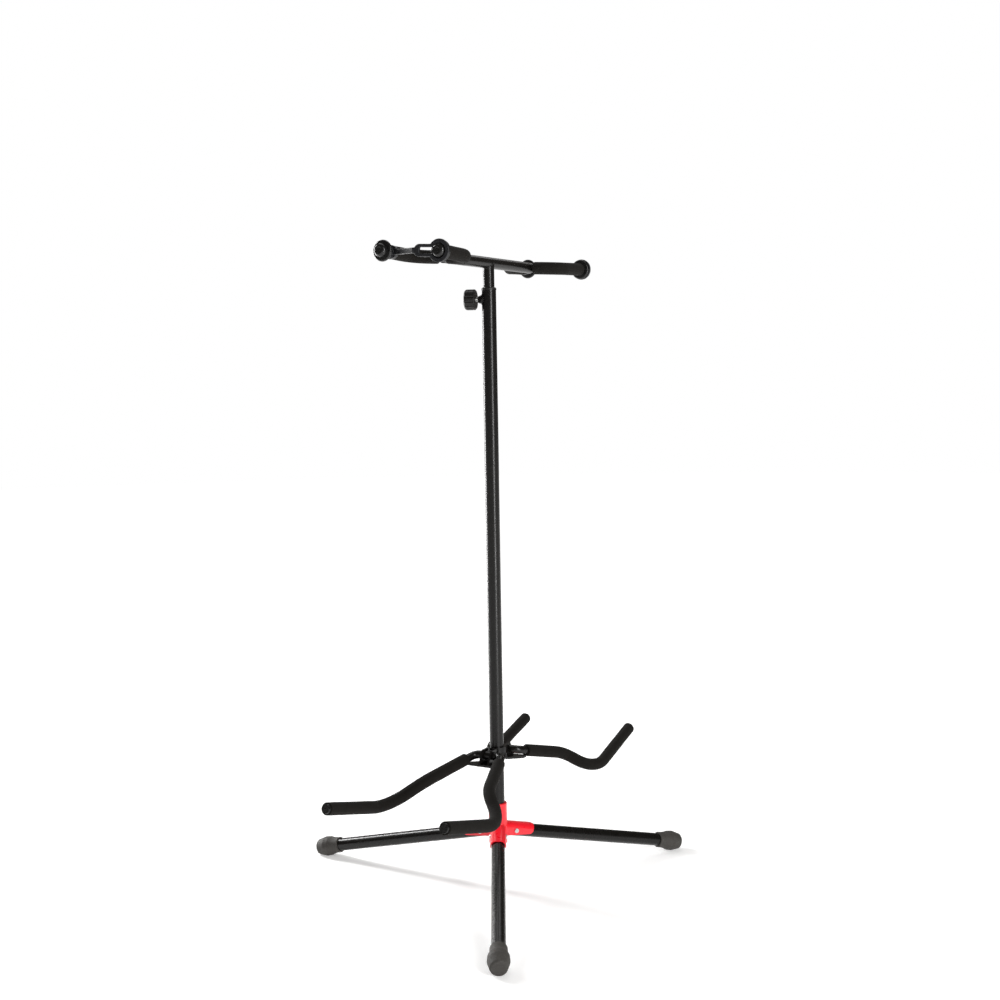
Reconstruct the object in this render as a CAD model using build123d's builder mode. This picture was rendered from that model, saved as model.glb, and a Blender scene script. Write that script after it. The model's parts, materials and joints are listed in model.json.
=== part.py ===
from build123d import *
import os
from math import cos, radians, sin, tan

# Guitar rack for two guitars: a telescopic post on a folding tripod, a padded yoke for a neck at
# each end of a crossbar, and a padded cradle for a body on each side of the post.
# Frame: origin on the floor under the post's axis, +Z up, -Y towards the front guitar.
# All sizes are in millimetres.

os.makedirs("parts", exist_ok=True)

# ---- driving dimensions -------------------------------------------------------------------------
RUNNING = 0.05              # radial clearance of a running fit
FIXED = 0.02                # radial clearance of pieces fixed to each other
GAP = 0.3                   # clearance between pieces that move past each other
WALL = 1.2                  # steel tube wall
SOFT_EDGE = 0.7             # chamfer of metal and plastic ends

POST_R = 9.5                # lower tube
POST_BOTTOM = 57.0
POST_TOP = 812.0
BUSH_LIP = 3.5              # plastic bush standing out of the lower tube's mouth
BUSH_LIP_OVERHANG = 0.4
BUSH_LIP_EDGE = 1.1
BUSH_DEPTH = 30.0
PLUG_HEAD = 2.5             # plug in the lower tube's bottom
PLUG_WALL = 1.5
PLUG_DEPTH = 14.0

MAST_R = 7.5                # upper tube and crossbar
MAST_BOTTOM = 532.0
BAR_Z = 848.0               # crossbar axis
GUIDE_BUSH_LENGTH = 12.0
GUIDE_SPIGOT = 22.0

CLAMP_Z = 800.0             # height clamp on the lower tube
CLAMP_AZIMUTH = 199.0       # degrees from +X
CLAMP_NUT_R = (6.4, 4.6)    # welded cone, at the tube and at its outer end
CLAMP_NUT_END = 14.7        # distances from the post's axis
CLAMP_NUT_ROOT = 3.0        # overlap of the cone and the tube, shaped away
KNOB_START = 17.5
KNOB_END = 33.0
KNOB_R = 13.75
KNOB_FLUTES = 14
FLUTE_R = 1.9
FLUTE_OUT = 0.9             # the flutes' centres, beyond the knob's rim
KNOB_INNER_EDGE = 1.6
KNOB_OUTER_EDGE = 4.0
KNOB_DISH = 0.8             # hollow in the middle of the outer face
SCREW_IN_KNOB = 9.0
SCREW_R = 3.0
SCREW_NOSE_R = 1.2
PAD_LENGTH = 2.2
PAD_FACE = 0.8

SLEEVE_R = 12.5             # tripod hub
SLEEVE_BOTTOM = 62.0
SLEEVE_TOP = 118.0
LEG_AZIMUTHS = {"front": -60.0, "rear": 60.0, "left": 180.0}
LEG_R = 9.0
LEG_AXIS_Z = 82.2           # where the leg axes meet the post's axis
LEG_DROP = 13.3             # degrees below level
RIVET_AT = 23.0             # horizontal distance of the leg's rivet from the post's axis
RIVET_R = 2.5
CHANNEL_WALL = 1.4
CHANNEL_END = 53.0
CHANNEL_FOOT_CORNER = 6.0
ROOF_CORNER = 8.4           # the channel's roof is rounded over the leg
LEG_TAIL = 4.0              # the leg tube's end behind its rivet
WALL_BOTTOM_INNER = (4.0, 73.0)     # distance from the post's axis, height
WALL_BOTTOM_OUTER = (CHANNEL_END - 4.5, 68.0)
RIVET_HEAD_R = 3.4
RIVET_HEAD = 1.2
RIVET_TAPER = 25.0
FOOT_LENGTH = 39.0
FOOT_RING_R = 14.0
FOOT_RING_FROM_END = 14.0
FOOT_RING_CORNER = 5.0
FOOT_END_CORNER = 3.0
FOOT_END_WALL = 4.9
FOOT_MOUTH_R = 11.0
FOOT_LIP = 0.6
FOOT_NECK = (8.0, 0.3)      # end of the mouth's cylinder and its rise
FOOT_FLARE = (17.0, 0.5)    # end of the flare and its drop from the ring
FOOT_PRESS = 0.4            # how far the rubber is flattened by the floor

CRADLE_R = 5.5              # cradle tube
CRADLE_FOAM_R = 8.2
CRADLE_HALF_WIDTH = 86.0
CRADLE_TIP = (270.0, 169.0)             # distance out from the post's axis, height
CRADLE_DIP = (140.0, 137.0)
CRADLE_SHOULDER = (49.5, 108.5, 166.3)  # half width, distance out, height
CRADLE_APEX = (20.0, 22.0, 188.0)
CRADLE_BEND = 50.0
APEX_BEND = 12.0
CRADLE_AZIMUTHS = {"front": 0.0, "rear": 183.4}
CRADLE_BARE = 18.0          # bare tube between the foam's end and the fold's bend
CRADLE_PLUG = 3.0
CRADLE_PLUG_RIM = 1.0
CRADLE_PLUG_TAPER = 12.0
CRADLE_PLUG_DEPTH = 12.0
COLLAR_HEIGHT = 8.0
COLLAR_SPACE = 0.5
COLLAR_WALL = 4.0
BRACKET_CHEEK = (5.0, 8.0)  # inner and outer face of a cheek, from the middle
CHEEK_ROOT = 0.5            # the cheeks and the ledge start outside the collar
CHEEK_NOSE = (8.5, 4.5)     # beyond the fold's axis, at its height and at the top
CHEEK_RISE = 8.0
LEDGE_TOP = 178.0           # the arms' stop, a ledge under both of them
LEDGE_THICKNESS = 3.0
LEDGE_HALF_WIDTH = 27.0
LEDGE_REACH = 36.0
LEDGE_SIDE = 8.0
BRACKET_SCREW_R = 2.5
BRACKET_SCREW_LENGTH = 5.0
BRACKET_SOCKET = (1.45, 2.5)        # radius, depth

YOKE_R = 6.0                # yoke tube
YOKE_FOAM_R = 8.6
FOAM_SPACE = 0.5            # between the foam and its neighbours
YOKE_BASE = 113.0           # distance of the yoke's base from the post's axis
YOKE_HALF_WIDTH = 42.4
YOKE_REACH = 70.0           # arm length from the base's axis to the cap's flange
YOKE_BEND = 25.0
YOKE_ROLL = 3.6             # degrees, the -X side is the higher
YOKE_RISE = 2.2             # degrees, upwards from base to tip
CAP_FLANGE_R = 13.2
CAP_FLANGE = 4.0
CAP_FLANGE_EDGE = 1.4
CAP_DOME_R = 8.3
CAP_DOME_EDGE = (3.5, 5.0)  # height and width of the dome's rounding
CAP_HEIGHT = 10.5
CAP_SPIGOT = 14.0
STRAP_LOOP_R = 9.0
STRAP_LOOP_EAR = (4.5, 1.0)         # shift towards the band, drop of the radius
STRAP_BAND_ROOT = 3.0       # where the band starts in the loop, past the arm's axis
STRAP_LOOP_Y = 13.0         # towards the crossbar from the cap's flange
STRAP_LOOP_WIDTH = 6.0
STRAP_SLEEVE_R = 8.0        # the loop's sleeve, between it and the flange
STRAP_THICKNESS = 3.4
STRAP_BAND_HEIGHT = 7.0
STRAP_HEAD_HEIGHT = 15.5
STRAP_RING_R = 14.2
STRAP_HOLE_R = 9.2
STRAP_SLOT_HEIGHT = 7.5
STRAP_HINGE_X = -26.5
STRAP_HINGE_Y = 9.4
STRAP_HEAD_START = 14.5
STRAP_BEND_X = (5.0, 6.0)   # where the band turns to the head's plane, at its two faces
STRAP_SLOT_INSET = 1.0


def save(piece, name):
    piece.part.label = name
    export_step(piece.part, f"parts/{name}.step")


def swept_tube(points, radii, outer, inner):
    """A round tube along straight runs joined by tangent bends."""
    with BuildPart() as tube:
        with BuildLine() as route:
            FilletPolyline(*points, radius=radii)
        with BuildSketch(Plane(origin=route.line @ 0, z_dir=route.line % 0)):
            Circle(outer)
            Circle(inner, mode=Mode.SUBTRACT)
        sweep(path=route.line)
    return tube


# ---- post ---------------------------------------------------------------------------------------
CLAMP_DIRECTION = Vector(cos(radians(CLAMP_AZIMUTH)), sin(radians(CLAMP_AZIMUTH)), 0)
CLAMP = Plane(origin=(0, 0, CLAMP_Z), x_dir=(0, 0, 1), z_dir=CLAMP_DIRECTION)
POST_BORE = POST_R - WALL
PAD_R = SCREW_R - RUNNING

# The space that the pressure pad passes through, cut from one side of the post and its bush.
with BuildPart() as pad_hole:
    with BuildSketch(CLAMP):
        Circle(SCREW_R + GAP)
    extrude(amount=POST_R + 1)

with BuildPart() as lower_tube:
    with BuildSketch(Plane.XY.offset(POST_BOTTOM)):
        Circle(POST_R)
        Circle(POST_BORE, mode=Mode.SUBTRACT)
    extrude(amount=POST_TOP - POST_BOTTOM)
    add(pad_hole.part, mode=Mode.SUBTRACT)
save(lower_tube, "lower_tube")

with BuildPart() as post_plug:
    with BuildSketch(Plane.XY.offset(POST_BOTTOM - PLUG_HEAD)):
        Circle(POST_R)
    extrude(amount=PLUG_HEAD)
    chamfer(post_plug.edges().sort_by(Axis.Z)[0], SOFT_EDGE)
    with BuildSketch(Plane.XY.offset(POST_BOTTOM)):
        Circle(POST_BORE - FIXED)
        Circle(POST_BORE - PLUG_WALL, mode=Mode.SUBTRACT)
    extrude(amount=PLUG_DEPTH)
save(post_plug, "post_plug")

with BuildPart() as post_bush:
    with BuildSketch(Plane.XY.offset(POST_TOP)):
        Circle(POST_R + BUSH_LIP_OVERHANG)
    extrude(amount=BUSH_LIP)
    chamfer(post_bush.edges().sort_by(Axis.Z)[-1], BUSH_LIP_EDGE)
    with BuildSketch(Plane.XY.offset(POST_TOP)):
        Circle(POST_BORE - FIXED)
    extrude(amount=-BUSH_DEPTH)
    with BuildSketch(Plane.XY.offset(POST_TOP - BUSH_DEPTH)):
        Circle(MAST_R + RUNNING)
    extrude(amount=BUSH_DEPTH + BUSH_LIP, mode=Mode.SUBTRACT)
    add(pad_hole.part, mode=Mode.SUBTRACT)
save(post_bush, "post_bush")

# ---- height clamp -------------------------------------------------------------------------------
CLAMP_SIDE = Plane(origin=CLAMP.origin, x_dir=CLAMP_DIRECTION, z_dir=(0, 0, 1))
CLAMP_AXIS = Axis(CLAMP.origin, CLAMP_DIRECTION)
CLAMP_NUT_START = POST_R - CLAMP_NUT_ROOT
with BuildPart() as clamp_nut:
    with BuildSketch(CLAMP_SIDE):
        with BuildLine():
            Polyline((CLAMP_NUT_START, 0), (CLAMP_NUT_START, CLAMP_NUT_R[0]), (POST_R, CLAMP_NUT_R[0]),
                     (CLAMP_NUT_END - SOFT_EDGE, CLAMP_NUT_R[1]),
                     (CLAMP_NUT_END, CLAMP_NUT_R[1] - SOFT_EDGE), (CLAMP_NUT_END, 0), close=True)
        make_face()
    revolve(axis=CLAMP_AXIS)
    with BuildSketch(CLAMP):
        Circle(SCREW_R)
    extrude(amount=CLAMP_NUT_END, mode=Mode.SUBTRACT)
    with BuildSketch(Plane.XY.offset(CLAMP_Z)):
        Circle(POST_R)
    extrude(amount=POST_R, both=True, mode=Mode.SUBTRACT)
save(clamp_nut, "clamp_nut")

PAD_START = MAST_R + GAP
with BuildPart() as pressure_pad:
    with BuildSketch(CLAMP.offset(PAD_START)):
        Circle(PAD_R)
    extrude(amount=PAD_LENGTH)
    with BuildSketch(CLAMP.offset(PAD_START + PAD_FACE)):
        Circle(SCREW_NOSE_R + RUNNING)
    extrude(amount=PAD_LENGTH, mode=Mode.SUBTRACT)
save(pressure_pad, "pressure_pad")

with BuildPart() as clamp_screw:
    with BuildSketch(CLAMP.offset(PAD_START + PAD_LENGTH + RUNNING)):
        Circle(SCREW_R - RUNNING)
    extrude(amount=KNOB_START + SCREW_IN_KNOB - PAD_START - PAD_LENGTH - 2 * RUNNING)
    with BuildSketch(CLAMP.offset(PAD_START + PAD_FACE + RUNNING)):
        Circle(SCREW_NOSE_R)
    extrude(amount=PAD_LENGTH)
save(clamp_screw, "clamp_screw")

with BuildPart() as knob:
    with BuildSketch(CLAMP.offset(KNOB_START)):
        Circle(KNOB_R)
        with PolarLocations(KNOB_R + FLUTE_OUT, KNOB_FLUTES):
            Circle(FLUTE_R, mode=Mode.SUBTRACT)
    extrude(amount=KNOB_END - KNOB_START)
    with BuildSketch(CLAMP_SIDE):
        with BuildLine():
            Polyline((KNOB_START, 0), (KNOB_START, KNOB_R - KNOB_INNER_EDGE),
                     (KNOB_START + KNOB_INNER_EDGE, KNOB_R), (KNOB_END - KNOB_OUTER_EDGE, KNOB_R))
            TangentArc((KNOB_END - KNOB_OUTER_EDGE, KNOB_R), (KNOB_END, KNOB_R - KNOB_OUTER_EDGE),
                       tangent=(1, 0))
            Polyline((KNOB_END, KNOB_R - KNOB_OUTER_EDGE), (KNOB_END - KNOB_DISH, 0), (KNOB_START, 0))
        make_face()
    revolve(axis=CLAMP_AXIS, mode=Mode.INTERSECT)
    with BuildSketch(CLAMP.offset(KNOB_START)):
        Circle(SCREW_R)
    extrude(amount=SCREW_IN_KNOB, mode=Mode.SUBTRACT)
save(knob, "knob")

# ---- tripod hub, brackets and legs --------------------------------------------------------------
with BuildPart() as hub_sleeve:
    with BuildSketch(Plane.XY.offset(SLEEVE_BOTTOM)):
        Circle(SLEEVE_R)
    extrude(amount=SLEEVE_TOP - SLEEVE_BOTTOM)
    chamfer(hub_sleeve.edges(), SOFT_EDGE)
    with BuildSketch(Plane.XY.offset(SLEEVE_BOTTOM)):
        Circle(POST_R + FIXED)
    extrude(amount=SLEEVE_TOP - SLEEVE_BOTTOM, mode=Mode.SUBTRACT)
save(hub_sleeve, "hub_sleeve")

DROP = tan(radians(LEG_DROP))
RIVET_Z = LEG_AXIS_Z - RIVET_AT * DROP
ROOF_INSIDE = (LEG_R + GAP) / cos(radians(LEG_DROP))
ROOF_OUTSIDE = (LEG_R + GAP + CHANNEL_WALL) / cos(radians(LEG_DROP))
CHANNEL_INSIDE = LEG_R + GAP + RUNNING
CHANNEL_OUTSIDE = CHANNEL_INSIDE + CHANNEL_WALL
FOOT_RING_AT = (LEG_AXIS_Z - FOOT_RING_R * cos(radians(LEG_DROP)) + FOOT_PRESS) / sin(radians(LEG_DROP))
FOOT_END = FOOT_RING_AT + FOOT_RING_FROM_END
FOOT_START = FOOT_END - FOOT_LENGTH
FOOT_END_R = FOOT_RING_R - FOOT_RING_FROM_END * DROP
FOOT_FLOOR = FOOT_END - FOOT_END_WALL
NECK_END = (FOOT_START + FOOT_NECK[0], FOOT_MOUTH_R + FOOT_NECK[1])
FLARE_END = (FOOT_START + FOOT_FLARE[0], FOOT_RING_R - FOOT_FLARE[1])


def axis_height(distance):
    return LEG_AXIS_Z - distance * DROP


for side, azimuth in LEG_AZIMUTHS.items():
    outward = Vector(cos(radians(azimuth)), sin(radians(azimuth)), 0)
    # Upright plane through the post and the leg: local x runs outward, local y runs up.
    upright = Plane(origin=(0, 0, 0), x_dir=outward, z_dir=outward.cross(Vector(0, 0, 1)))
    down_leg = outward * cos(radians(LEG_DROP)) - Vector(0, 0, sin(radians(LEG_DROP)))
    leg_root = Vector(0, 0, LEG_AXIS_Z)
    # Plane along the leg: local x is the distance down the leg, local y is square to it.
    along = Plane(origin=leg_root, x_dir=down_leg, z_dir=upright.z_dir)
    rivet_along = RIVET_AT / cos(radians(LEG_DROP))

    with BuildPart() as channel_space:
        with BuildSketch(upright):
            with BuildLine():
                Polyline((0, 0), (2 * CHANNEL_END, 0),
                         (2 * CHANNEL_END, axis_height(2 * CHANNEL_END) + ROOF_INSIDE),
                         (0, axis_height(0) + ROOF_INSIDE), close=True)
            make_face()
        extrude(amount=CHANNEL_INSIDE, both=True)
        fillet(channel_space.edges().filter_by(Axis(leg_root, down_leg)), ROOF_CORNER - CHANNEL_WALL)

    with BuildPart() as leg_bracket:
        with BuildSketch(upright) as profile:
            with BuildLine():
                Polyline(WALL_BOTTOM_INNER, WALL_BOTTOM_OUTER,
                         (CHANNEL_END, axis_height(CHANNEL_END) + ROOF_OUTSIDE),
                         (WALL_BOTTOM_INNER[0], axis_height(WALL_BOTTOM_INNER[0]) + ROOF_OUTSIDE),
                         close=True)
            make_face()
            fillet(profile.vertices().sort_by(Axis.Y)[0], CHANNEL_FOOT_CORNER)
        extrude(amount=CHANNEL_OUTSIDE, both=True)
        fillet(leg_bracket.edges().filter_by(Axis(leg_root, down_leg)), ROOF_CORNER)
        add(channel_space.part, mode=Mode.SUBTRACT)
        with BuildSketch(Plane.XY.offset(SLEEVE_BOTTOM)):
            Circle(SLEEVE_R)
        extrude(amount=SLEEVE_TOP - SLEEVE_BOTTOM, mode=Mode.SUBTRACT)
        with BuildSketch(upright):
            with Locations((RIVET_AT, RIVET_Z)):
                Circle(RIVET_R)
        extrude(amount=CHANNEL_OUTSIDE + 1, both=True, mode=Mode.SUBTRACT)
    save(leg_bracket, f"leg_bracket_{side}")

    with BuildPart() as leg_rivet:
        with BuildSketch(upright):
            with Locations((RIVET_AT, RIVET_Z)):
                Circle(RIVET_R)
        extrude(amount=CHANNEL_OUTSIDE, both=True)
        for face_side in (1, -1):
            with BuildSketch(upright.offset(face_side * CHANNEL_OUTSIDE)):
                with Locations((RIVET_AT, RIVET_Z)):
                    Circle(RIVET_HEAD_R)
            extrude(amount=face_side * RIVET_HEAD, taper=RIVET_TAPER)
    save(leg_rivet, f"leg_rivet_{side}")

    with BuildPart() as leg_tube:
        with BuildSketch(Plane(origin=leg_root, z_dir=down_leg)):
            Circle(LEG_R)
            Circle(LEG_R - WALL, mode=Mode.SUBTRACT)
        extrude(amount=FOOT_END - FOOT_END_WALL - 2 * RUNNING)
        with BuildSketch(along):
            with Locations((rivet_along, 0)):
                Circle(LEG_R)
            with Locations((rivet_along, 0)):
                Rectangle(FOOT_END, 2 * LEG_R + 1, align=(Align.MIN, Align.CENTER))
        extrude(amount=LEG_R + 1, both=True, mode=Mode.INTERSECT)
        with BuildSketch(along):
            with Locations((rivet_along - LEG_TAIL, 0)):
                Rectangle(LEG_R, 2 * LEG_R + 1, align=(Align.MAX, Align.CENTER))
            with Locations((rivet_along, 0)):
                Circle(RIVET_R + RUNNING)
        extrude(amount=LEG_R + 1, both=True, mode=Mode.SUBTRACT)
    save(leg_tube, f"leg_tube_{side}")

    with BuildPart() as leg_foot:
        with BuildSketch(along) as foot_profile:
            with BuildLine():
                Polyline((FOOT_START, LEG_R + FIXED), (FOOT_START, FOOT_MOUTH_R - FOOT_LIP),
                         (FOOT_START + FOOT_LIP, FOOT_MOUTH_R), NECK_END)
                TangentArc(NECK_END, FLARE_END, tangent=(1, 0.1))
                Polyline(FLARE_END, (FOOT_RING_AT, FOOT_RING_R), (FOOT_END, FOOT_END_R), (FOOT_END, 0),
                         (FOOT_FLOOR, 0), (FOOT_FLOOR, LEG_R + FIXED), (FOOT_START, LEG_R + FIXED))
            make_face()
            for corner, radius in (((FOOT_RING_AT, FOOT_RING_R, 0), FOOT_RING_CORNER),
                                   ((FOOT_END, FOOT_END_R, 0), FOOT_END_CORNER)):
                fillet(foot_profile.vertices().sort_by_distance(corner)[0], radius)
        revolve(axis=Axis(leg_root, down_leg))
        with BuildSketch(Plane.XY):
            Circle(2 * FOOT_END)
        extrude(amount=-2 * FOOT_RING_R, mode=Mode.SUBTRACT)
    save(leg_foot, f"leg_foot_{side}")

# ---- cradles ------------------------------------------------------------------------------------
APEX_X, APEX_OUT, APEX_Z = CRADLE_APEX
COLLAR_R = POST_R + COLLAR_WALL
CHEEK_START = COLLAR_R + CHEEK_ROOT
LEDGE_BOTTOM = LEDGE_TOP - LEDGE_THICKNESS

for index, (side, azimuth) in enumerate(CRADLE_AZIMUTHS.items()):
    turned = Plane.XY.rotated((0, 0, azimuth))
    collar_bottom = APEX_Z - COLLAR_HEIGHT - COLLAR_SPACE / 2 + index * (COLLAR_HEIGHT + COLLAR_SPACE)

    def place(across, out, height):
        return turned.from_local_coords(Vector(across, -out, height))

    def arm_points(hand):
        return [place(hand * CRADLE_HALF_WIDTH, *CRADLE_TIP), place(hand * CRADLE_HALF_WIDTH, *CRADLE_DIP),
                place(hand * CRADLE_SHOULDER[0], *CRADLE_SHOULDER[1:])]

    apex = [place(hand * APEX_X, APEX_OUT, APEX_Z) for hand in (-1, 1)]
    cradle_tube = swept_tube(arm_points(-1) + apex + arm_points(1)[::-1],
                             [CRADLE_BEND, CRADLE_BEND, APEX_BEND, APEX_BEND, CRADLE_BEND, CRADLE_BEND],
                             CRADLE_R, CRADLE_R - WALL)
    save(cradle_tube, f"cradle_tube_{side}")

    for hand, hand_name in ((-1, "left"), (1, "right")):
        points = arm_points(hand)
        inward = (place(hand * APEX_X, APEX_OUT, APEX_Z) - points[-1])
        foam_end = points[-1] + inward * (1 - CRADLE_BARE / inward.length)
        foam = swept_tube(points + [foam_end], [CRADLE_BEND, CRADLE_BEND], CRADLE_FOAM_R, CRADLE_R + FIXED)
        save(foam, f"cradle_foam_{side}_{hand_name}")

        out_of_tip = (points[0] - points[1]).normalized()
        with BuildPart() as cradle_plug:
            with BuildSketch(Plane(origin=points[0], z_dir=out_of_tip)):
                Circle(CRADLE_R + CRADLE_PLUG_RIM)
            extrude(amount=CRADLE_PLUG, taper=CRADLE_PLUG_TAPER)
            with BuildSketch(Plane(origin=points[0], z_dir=out_of_tip)):
                Circle(CRADLE_R - WALL - FIXED)
            extrude(amount=-CRADLE_PLUG_DEPTH)
        save(cradle_plug, f"cradle_plug_{side}_{hand_name}")

    with BuildPart() as cradle_bracket:
        with BuildSketch(turned.offset(collar_bottom)):
            Circle(COLLAR_R)
            with Locations((0, -(CHEEK_START + CHEEK_ROOT) / 2)):
                Rectangle(2 * BRACKET_CHEEK[1], CHEEK_START + CHEEK_ROOT)
        extrude(amount=COLLAR_HEIGHT)
        for hand in (-1, 1):
            cheek = Plane(origin=place(hand * BRACKET_CHEEK[0], 0, 0), x_dir=-turned.y_dir,
                          z_dir=turned.x_dir * hand)
            rise = cheek.y_dir.Z        # the cheek's local y runs up or down
            with BuildSketch(cheek):
                with BuildLine():
                    Polyline((CHEEK_START, rise * LEDGE_BOTTOM), (LEDGE_REACH, rise * LEDGE_BOTTOM),
                             (LEDGE_REACH, rise * LEDGE_TOP), (APEX_OUT + CHEEK_NOSE[0], rise * APEX_Z),
                             (APEX_OUT + CHEEK_NOSE[1], rise * (APEX_Z + CHEEK_RISE)),
                             (CHEEK_START, rise * (APEX_Z + CHEEK_RISE)), close=True)
                make_face()
            extrude(amount=BRACKET_CHEEK[1] - BRACKET_CHEEK[0])
        with BuildSketch(turned.offset(LEDGE_BOTTOM)):
            with BuildLine():
                Polyline((-BRACKET_CHEEK[1], -CHEEK_START), (BRACKET_CHEEK[1], -CHEEK_START),
                         (LEDGE_HALF_WIDTH, LEDGE_SIDE - LEDGE_REACH), (LEDGE_HALF_WIDTH, -LEDGE_REACH),
                         (-LEDGE_HALF_WIDTH, -LEDGE_REACH), (-LEDGE_HALF_WIDTH, LEDGE_SIDE - LEDGE_REACH),
                         close=True)
            make_face()
        extrude(amount=LEDGE_THICKNESS)
        with BuildSketch(Plane.XY.offset(POST_BOTTOM)):
            Circle(POST_R + FIXED)
        extrude(amount=POST_TOP - POST_BOTTOM, mode=Mode.SUBTRACT)
        with BuildSketch(Plane(origin=place(0, APEX_OUT, APEX_Z), z_dir=turned.x_dir)):
            Circle(CRADLE_R + RUNNING)
        extrude(amount=BRACKET_CHEEK[1] + 1, both=True, mode=Mode.SUBTRACT)
        screw_plane = Plane(origin=place(0, 0, collar_bottom + COLLAR_HEIGHT / 2), z_dir=turned.x_dir)
        with BuildSketch(screw_plane):
            Circle(BRACKET_SCREW_R)
        extrude(amount=POST_R + BRACKET_SCREW_LENGTH + 1, mode=Mode.SUBTRACT)
    save(cradle_bracket, f"cradle_bracket_{side}")

    with BuildPart() as bracket_screw:
        with BuildSketch(screw_plane.offset(POST_R + RUNNING)):
            Circle(BRACKET_SCREW_R - FIXED)
        extrude(amount=BRACKET_SCREW_LENGTH)
        with BuildSketch(screw_plane.offset(POST_R + RUNNING + BRACKET_SCREW_LENGTH)):
            RegularPolygon(BRACKET_SOCKET[0], 6)
        extrude(amount=-BRACKET_SOCKET[1], mode=Mode.SUBTRACT)
    save(bracket_screw, f"bracket_screw_{side}")

# ---- mast ---------------------------------------------------------------------------------------
with BuildPart() as guide_bush:
    with BuildSketch(Plane.XY.offset(MAST_BOTTOM - GAP)):
        Circle(POST_BORE - RUNNING)
    extrude(amount=-GUIDE_BUSH_LENGTH)
    chamfer(guide_bush.edges().sort_by(Axis.Z)[0], SOFT_EDGE)
    with BuildSketch(Plane.XY.offset(MAST_BOTTOM - GAP)):
        Circle(MAST_R - WALL - RUNNING)
    extrude(amount=GUIDE_SPIGOT)
save(guide_bush, "guide_bush")

with BuildPart() as upper_tube:
    with BuildSketch(Plane.XY.offset(MAST_BOTTOM)):
        Circle(MAST_R)
        Circle(MAST_R - WALL, mode=Mode.SUBTRACT)
    extrude(amount=BAR_Z - MAST_BOTTOM)
    with BuildSketch(Plane.XZ.offset(-2 * MAST_R)):
        with Locations((0, BAR_Z)):
            Circle(MAST_R)
    extrude(amount=4 * MAST_R, mode=Mode.SUBTRACT)
save(upper_tube, "upper_tube")

YOKE_ACROSS = Vector(cos(radians(YOKE_ROLL)), 0, -sin(radians(YOKE_ROLL)))

with BuildPart() as crossbar:
    with BuildSketch(Plane.XZ):
        with Locations((0, BAR_Z)):
            Circle(MAST_R)
            Circle(MAST_R - WALL, mode=Mode.SUBTRACT)
    extrude(amount=YOKE_BASE, both=True)
    for end in (-1, 1):
        with BuildSketch(Plane(origin=(0, end * YOKE_BASE, BAR_Z), z_dir=YOKE_ACROSS)):
            Circle(YOKE_R + FIXED)
        extrude(amount=2 * MAST_R, both=True, mode=Mode.SUBTRACT)
save(crossbar, "crossbar")

# ---- yokes and straps ---------------------------------------------------------------------------
FLANGE_Y = -YOKE_REACH      # inner face of the caps' flanges in the yoke's own plane
FOAM_START = MAST_R + FOAM_SPACE
RIM_R = CAP_FLANGE_R - CAP_FLANGE_EDGE
RIM_TOP = (CAP_FLANGE - CAP_FLANGE_EDGE, CAP_FLANGE_R)
DOME_SHOULDER = (CAP_HEIGHT - CAP_DOME_EDGE[0], CAP_DOME_R)
DOME_CROWN = (CAP_HEIGHT, CAP_DOME_R - CAP_DOME_EDGE[1])

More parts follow.
